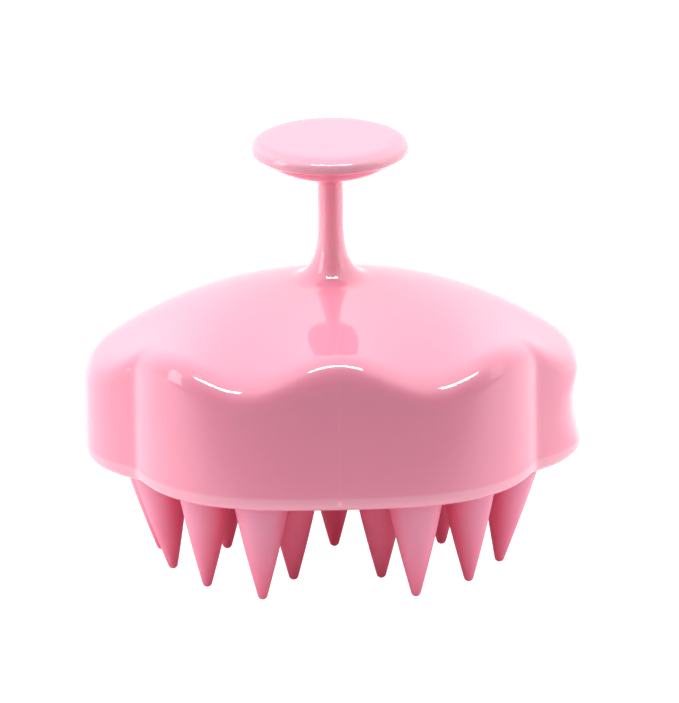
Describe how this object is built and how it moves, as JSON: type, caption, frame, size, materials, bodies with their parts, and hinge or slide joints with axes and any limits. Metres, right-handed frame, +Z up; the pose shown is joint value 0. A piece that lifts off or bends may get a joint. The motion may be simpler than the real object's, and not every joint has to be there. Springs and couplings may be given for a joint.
{
  "type": "scalp massager brush",
  "caption": "Hand-held scalp massager brush: glossy domed cover with a disc finger grip on a thin stem, over a pad of soft tapered silicone bristles.",
  "frame": {"origin": "middle of the plane the bristle tips stand on, on the axis of the stem", "axes": "+Z up along the stem, -Y the front edge with the two finger scoops, +X the end with the thumb rest"},
  "size_m": [0.0781, 0.0648, 0.0676],
  "materials": {
    "cover": "high-gloss injection-moulded ABS, pastel pink",
    "silicone": "matte silicone, deeper pink",
    "plate": "natural moulded polypropylene",
    "steel": "plain stainless screw"
  },
  "bodies": {
    "head": {"cover": "cover", "support_plate": "plate", "bristle_pad": "silicone", "plate_screw_front_left": "steel", "plate_screw_front_right": "steel", "plate_screw_back_left": "steel", "plate_screw_back_right": "steel"},
    "bristle_centre": {"bristle_centre": "silicone"},
    "bristle_inner_left_1": {"bristle_inner_left_1": "silicone"},
    "bristle_inner_left_2": {"bristle_inner_left_2": "silicone"},
    "bristle_inner_left_3": {"bristle_inner_left_3": "silicone"},
    "bristle_outer_left_1": {"bristle_outer_left_1": "silicone"},
    "bristle_outer_left_2": {"bristle_outer_left_2": "silicone"},
    "bristle_outer_left_3": {"bristle_outer_left_3": "silicone"},
    "bristle_outer_left_4": {"bristle_outer_left_4": "silicone"},
    "bristle_outer_left_5": {"bristle_outer_left_5": "silicone"},
    "bristle_outer_left_6": {"bristle_outer_left_6": "silicone"},
    "bristle_outer_left_7": {"bristle_outer_left_7": "silicone"},
    "bristle_inner_right_1": {"bristle_inner_right_1": "silicone"},
    "bristle_inner_right_2": {"bristle_inner_right_2": "silicone"},
    "bristle_inner_right_3": {"bristle_inner_right_3": "silicone"},
    "bristle_outer_right_1": {"bristle_outer_right_1": "silicone"},
    "bristle_outer_right_2": {"bristle_outer_right_2": "silicone"},
    "bristle_outer_right_3": {"bristle_outer_right_3": "silicone"},
    "bristle_outer_right_4": {"bristle_outer_right_4": "silicone"},
    "bristle_outer_right_5": {"bristle_outer_right_5": "silicone"},
    "bristle_outer_right_6": {"bristle_outer_right_6": "silicone"},
    "bristle_outer_right_7": {"bristle_outer_right_7": "silicone"}
  },
  "joints": [
    {"name": "bristle_centre_flex", "type": "hinge", "parent": "head", "child": "bristle_centre", "pos_m": [0, 0, 0.018], "axis": [0, -1, 0], "range_deg": [-12, 12], "stiffness_Nm_per_rad": 0.008},
    {"name": "bristle_inner_left_1_flex", "type": "hinge", "parent": "head", "child": "bristle_inner_left_1", "pos_m": [-0.00687, -0.01544, 0.018], "axis": [-0.9135, 0.4067, 0], "range_deg": [-12, 12], "stiffness_Nm_per_rad": 0.008},
    {"name": "bristle_inner_left_2_flex", "type": "hinge", "parent": "head", "child": "bristle_inner_left_2", "pos_m": [-0.0169, 0, 0.018], "axis": [0, 1, 0], "range_deg": [-12, 12], "stiffness_Nm_per_rad": 0.008},
    {"name": "bristle_inner_left_3_flex", "type": "hinge", "parent": "head", "child": "bristle_inner_left_3", "pos_m": [-0.00687, 0.01544, 0.018], "axis": [0.9135, 0.4067, 0], "range_deg": [-12, 12], "stiffness_Nm_per_rad": 0.008},
    {"name": "bristle_outer_left_1_flex", "type": "hinge", "parent": "head", "child": "bristle_outer_left_1", "pos_m": [-0.01197, -0.02443, 0.018], "axis": [-0.898, 0.4399, 0], "range_deg": [-12, 12], "stiffness_Nm_per_rad": 0.008},
    {"name": "bristle_outer_left_2_flex", "type": "hinge", "parent": "head", "child": "bristle_outer_left_2", "pos_m": [-0.02047, -0.01792, 0.018], "axis": [-0.6587, 0.7524, 0], "range_deg": [-12, 12], "stiffness_Nm_per_rad": 0.008},
    {"name": "bristle_outer_left_3_flex", "type": "hinge", "parent": "head", "child": "bristle_outer_left_3", "pos_m": [-0.02747, -0.00926, 0.018], "axis": [-0.3194, 0.9476, 0], "range_deg": [-12, 12], "stiffness_Nm_per_rad": 0.008},
    {"name": "bristle_outer_left_4_flex", "type": "hinge", "parent": "head", "child": "bristle_outer_left_4", "pos_m": [-0.02909, 0, 0.018], "axis": [0, 1, 0], "range_deg": [-12, 12], "stiffness_Nm_per_rad": 0.008},
    {"name": "bristle_outer_left_5_flex", "type": "hinge", "parent": "head", "child": "bristle_outer_left_5", "pos_m": [-0.02747, 0.00926, 0.018], "axis": [0.3194, 0.9476, 0], "range_deg": [-12, 12], "stiffness_Nm_per_rad": 0.008},
    {"name": "bristle_outer_left_6_flex", "type": "hinge", "parent": "head", "child": "bristle_outer_left_6", "pos_m": [-0.02047, 0.01792, 0.018], "axis": [0.6587, 0.7524, 0], "range_deg": [-12, 12], "stiffness_Nm_per_rad": 0.008},
    {"name": "bristle_outer_left_7_flex", "type": "hinge", "parent": "head", "child": "bristle_outer_left_7", "pos_m": [-0.01197, 0.02443, 0.018], "axis": [0.898, 0.4399, 0], "range_deg": [-12, 12], "stiffness_Nm_per_rad": 0.008},
    {"name": "bristle_inner_right_1_flex", "type": "hinge", "parent": "head", "child": "bristle_inner_right_1", "pos_m": [0.00687, -0.01544, 0.018], "axis": [-0.9135, -0.4067, 0], "range_deg": [-12, 12], "stiffness_Nm_per_rad": 0.008},
    {"name": "bristle_inner_right_2_flex", "type": "hinge", "parent": "head", "child": "bristle_inner_right_2", "pos_m": [0.0169, 0, 0.018], "axis": [0, -1, 0], "range_deg": [-12, 12], "stiffness_Nm_per_rad": 0.008},
    {"name": "bristle_inner_right_3_flex", "type": "hinge", "parent": "head", "child": "bristle_inner_right_3", "pos_m": [0.00687, 0.01544, 0.018], "axis": [0.9135, -0.4067, 0], "range_deg": [-12, 12], "stiffness_Nm_per_rad": 0.008},
    {"name": "bristle_outer_right_1_flex", "type": "hinge", "parent": "head", "child": "bristle_outer_right_1", "pos_m": [0.01197, -0.02443, 0.018], "axis": [-0.898, -0.4399, 0], "range_deg": [-12, 12], "stiffness_Nm_per_rad": 0.008},
    {"name": "bristle_outer_right_2_flex", "type": "hinge", "parent": "head", "child": "bristle_outer_right_2", "pos_m": [0.02047, -0.01792, 0.018], "axis": [-0.6587, -0.7524, 0], "range_deg": [-12, 12], "stiffness_Nm_per_rad": 0.008},
    {"name": "bristle_outer_right_3_flex", "type": "hinge", "parent": "head", "child": "bristle_outer_right_3", "pos_m": [0.02747, -0.00926, 0.018], "axis": [-0.3194, -0.9476, 0], "range_deg": [-12, 12], "stiffness_Nm_per_rad": 0.008},
    {"name": "bristle_outer_right_4_flex", "type": "hinge", "parent": "head", "child": "bristle_outer_right_4", "pos_m": [0.02909, 0, 0.018], "axis": [0, -1, 0], "range_deg": [-12, 12], "stiffness_Nm_per_rad": 0.008},
    {"name": "bristle_outer_right_5_flex", "type": "hinge", "parent": "head", "child": "bristle_outer_right_5", "pos_m": [0.02747, 0.00926, 0.018], "axis": [0.3194, -0.9476, 0], "range_deg": [-12, 12], "stiffness_Nm_per_rad": 0.008},
    {"name": "bristle_outer_right_6_flex", "type": "hinge", "parent": "head", "child": "bristle_outer_right_6", "pos_m": [0.02047, 0.01792, 0.018], "axis": [0.6587, -0.7524, 0], "range_deg": [-12, 12], "stiffness_Nm_per_rad": 0.008},
    {"name": "bristle_outer_right_7_flex", "type": "hinge", "parent": "head", "child": "bristle_outer_right_7", "pos_m": [0.01197, 0.02443, 0.018], "axis": [0.898, -0.4399, 0], "range_deg": [-12, 12], "stiffness_Nm_per_rad": 0.008}
  ]
}
